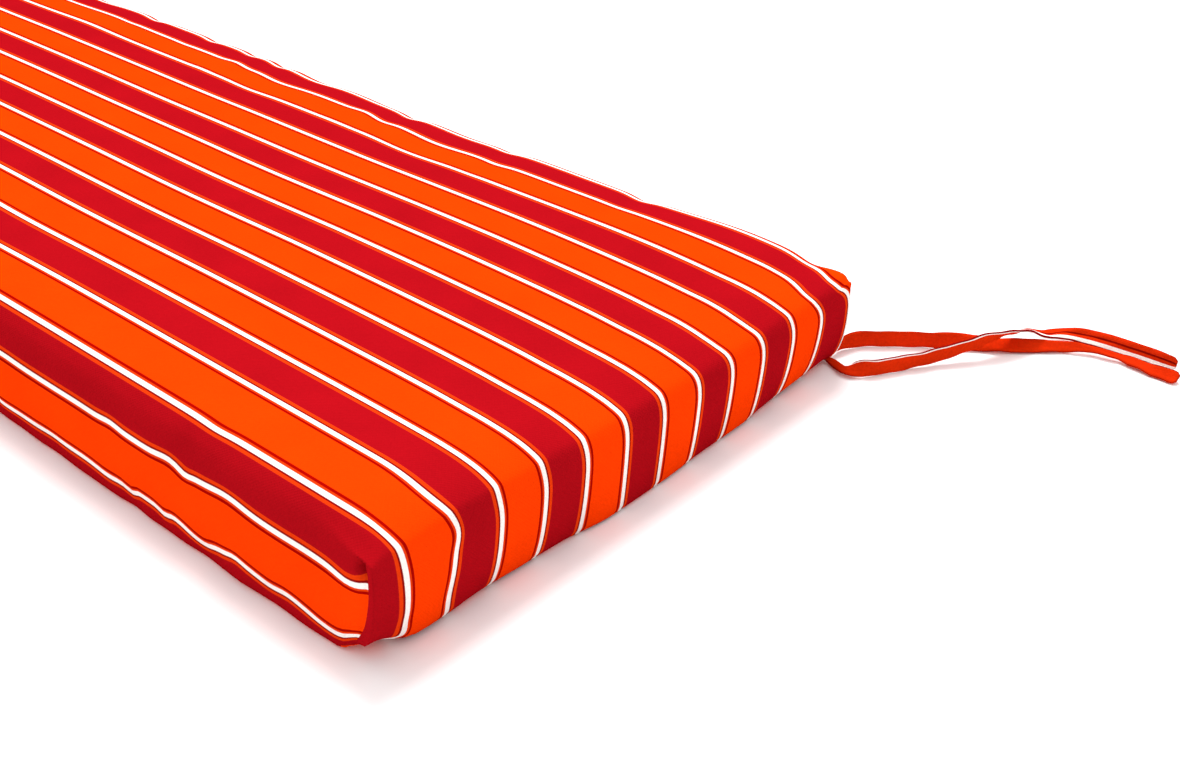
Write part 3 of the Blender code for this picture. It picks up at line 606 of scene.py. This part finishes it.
def fillRamp(ramp, bands, whole, blur):  # bands: (colour, width) from 0 up
    stops, at = [], 0.0
    for (colour, width), after in zip(bands, list(bands[1:]) + [None]):
        stops.append(((at + blur) / whole if at else 0.0, colour))
        at += width
        if after:
            stops.append(((at - blur) / whole, colour))
    while len(ramp.elements) < len(stops):
        ramp.elements.new(0.5)
    for element, (place, colour) in zip(ramp.elements, stops):
        element.position = min(place, 1.0)
    for element, (place, colour) in zip(ramp.elements, stops):
        element.color = linear(cloth[colour])


def stripedCloth():  # printed cotton, matte and lightly uneven: bright stripes with crisp thin lines
    made, tree, shader = newMaterial("stripedCottonWeave")
    uv = node(tree, "ShaderNodeUVMap", {"uv_map": "cloth"})
    split = node(tree, "ShaderNodeSeparateXYZ", links={"Vector": (uv, "UV")})
    pitch = cloth["pitch"] * mm
    centred = node(tree, "ShaderNodeMath", {"operation": "SUBTRACT", 1: cloth["firstCentre"] * mm},
                   {0: (split, "Y")})
    folded = node(tree, "ShaderNodeMath", {"operation": "PINGPONG", 1: pitch}, {0: (centred, 0)})
    share = node(tree, "ShaderNodeMath", {"operation": "DIVIDE", 1: pitch}, {0: (folded, 0)})
    ramp = node(tree, "ShaderNodeValToRGB", links={"Fac": (share, 0)})
    lines = cloth["lines"]
    before = sum(w for n, w in lines[:2]) + lines[2][1] / 2  # the white line's middle is the border's middle
    start = cloth["pitch"] / 2 - before
    rest = cloth["pitch"] - start - sum(w for n, w in lines)
    fillRamp(ramp.color_ramp, [("orange", start), *lines, ("red", rest)], cloth["pitch"], cloth["blur"])
    finishCloth(tree, shader, uv, (ramp, "Color"), cloth["mottle"])
    return made


def tieCloth(name, bands, tip=None):  # the same cotton folded, duller, with painted shade at its folds, creases and open edge, and more uneven from a stronger mottle that is partly painted crease shade
    made, tree, shader = newMaterial(name)
    uv = node(tree, "ShaderNodeUVMap", {"uv_map": "cloth"})
    split = node(tree, "ShaderNodeSeparateXYZ", links={"Vector": (uv, "UV")})
    ramps = []
    for row in filter(None, (bands, tip)):
        whole = sum(w for n, w in row)
        share = node(tree, "ShaderNodeMath", {"operation": "DIVIDE", 1: whole * mm}, {0: (split, "Y")})
        ramps.append(node(tree, "ShaderNodeValToRGB", links={"Fac": (share, 0)}))
        fillRamp(ramps[-1].color_ramp, row, whole, cloth["tieBlur"])
    colour = (ramps[0], "Color")
    if tip:  # the fold opens a little near the tip, drawn as a white sliver with a painted shadow inside the open edge
        low, high = (cloth["backTipFrom"] + way * cloth["tipBlur"] for way in (-1, 1))
        near = node(tree, "ShaderNodeMapRange", {"From Min": low * mm, "From Max": high * mm},
                    {"Value": (split, "X")})
        mixed = node(tree, "ShaderNodeMix", {"data_type": "RGBA"})
        tree.links.new(near.outputs[0], mixed.inputs[0])
        tree.links.new(ramps[0].outputs["Color"], mixed.inputs[6])
        tree.links.new(ramps[1].outputs["Color"], mixed.inputs[7])
        colour = (mixed, 2)
    finishCloth(tree, shader, uv, colour, cloth["tieMottleAndCreaseShade"])
    return made


plainStrip = tieCloth("foldedCottonStrip", cloth["plainTie"], cloth["backTip"])
linedStrip = tieCloth("foldedCottonStripLined", cloth["linedTie"])
tieBack, pathBack, lengthBack = makeTie("tieBack", ties["back"], ties["backShare"], plainStrip)
tieFront, pathFront, lengthFront = makeTie("tieFront", ties["front"], ties["frontShare"], linedStrip)
for piece, name, path, length in ((tieBack, "tie_back", pathBack, lengthBack),
                                  (tieFront, "tie_front", pathFront, lengthFront)):
    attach(piece, "root")
    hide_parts(name)
    print(name, "is", round(length, 4), "m long")

cover = makeCushion(stripedCloth())
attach(cover, "root")
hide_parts("cushion")
print("cushion made:", len(cover.data.polygons), "faces")


# Plain pale floor, a bright sky that is brighter from behind and left, a broad light from there
# and a faint one from the front
studio = dict(
    floor="faf9f9", floorRoughness=0.9, floorSpecular=0.1, floorSize=120.0, floorPlace=(0.3, 0, -0.0004),
    skyTop=1.62, skyLow=0.20, bright=(-0.82, 0.57, 0.0), dimSide=0.64, brightSide=1.30, sunHeight=3.0,
    # Lights: the way their rays run, their strength, and how wide they are in degrees
    suns=[((0.36, -0.36, -0.9), 2.25, 22.0), ((-0.12, 0.9, -0.5), 0.16, 60.0)],
)


def makeStudio():
    bpy.ops.mesh.primitive_plane_add(size=studio["floorSize"], location=studio["floorPlace"])
    floor = bpy.context.object
    floor.name = "floor"
    made, tree, shader = newMaterial("paleFloor")
    shader.inputs["Base Color"].default_value = linear(studio["floor"])
    shader.inputs["Roughness"].default_value = studio["floorRoughness"]
    shader.inputs["Specular IOR Level"].default_value = studio["floorSpecular"]
    floor.data.materials.append(made)
    world = bpy.data.worlds.new("studio")
    world.use_nodes = True
    tree = world.node_tree
    sky = tree.nodes["Background"]
    sky.inputs["Color"].default_value = (1, 1, 1, 1)
    way = node(tree, "ShaderNodeTexCoord")
    split = node(tree, "ShaderNodeSeparateXYZ", links={"Vector": (way, "Generated")})
    high = node(tree, "ShaderNodeMapRange", {"To Min": studio["skyLow"], "To Max": studio["skyTop"]},
                {"Value": (split, "Z")})
    toward = node(tree, "ShaderNodeVectorMath", {"operation": "DOT_PRODUCT", 1: studio["bright"]},
                  {0: (way, "Generated")})
    side = node(tree, "ShaderNodeMapRange", {"From Min": -1.0, "From Max": 1.0, "To Min": studio["dimSide"],
                                             "To Max": studio["brightSide"]}, {"Value": (toward, "Value")})
    light = node(tree, "ShaderNodeMath", {"operation": "MULTIPLY"}, {0: (high, 0), 1: (side, 0)})
    tree.links.new(light.outputs[0], sky.inputs["Strength"])
    bpy.context.scene.world = world
    for rays, strength, spread in studio["suns"]:
        bpy.ops.object.light_add(type="SUN", location=(0, 0, studio["sunHeight"]))
        sun = bpy.context.object
        sun.data.energy = strength
        sun.data.angle = radians(spread)
        sun.rotation_euler = Vector(rays).to_track_quat("-Z", "Y").to_euler()
    bpy.context.scene.view_settings.view_transform = "Standard"
    print("studio made")


makeStudio()
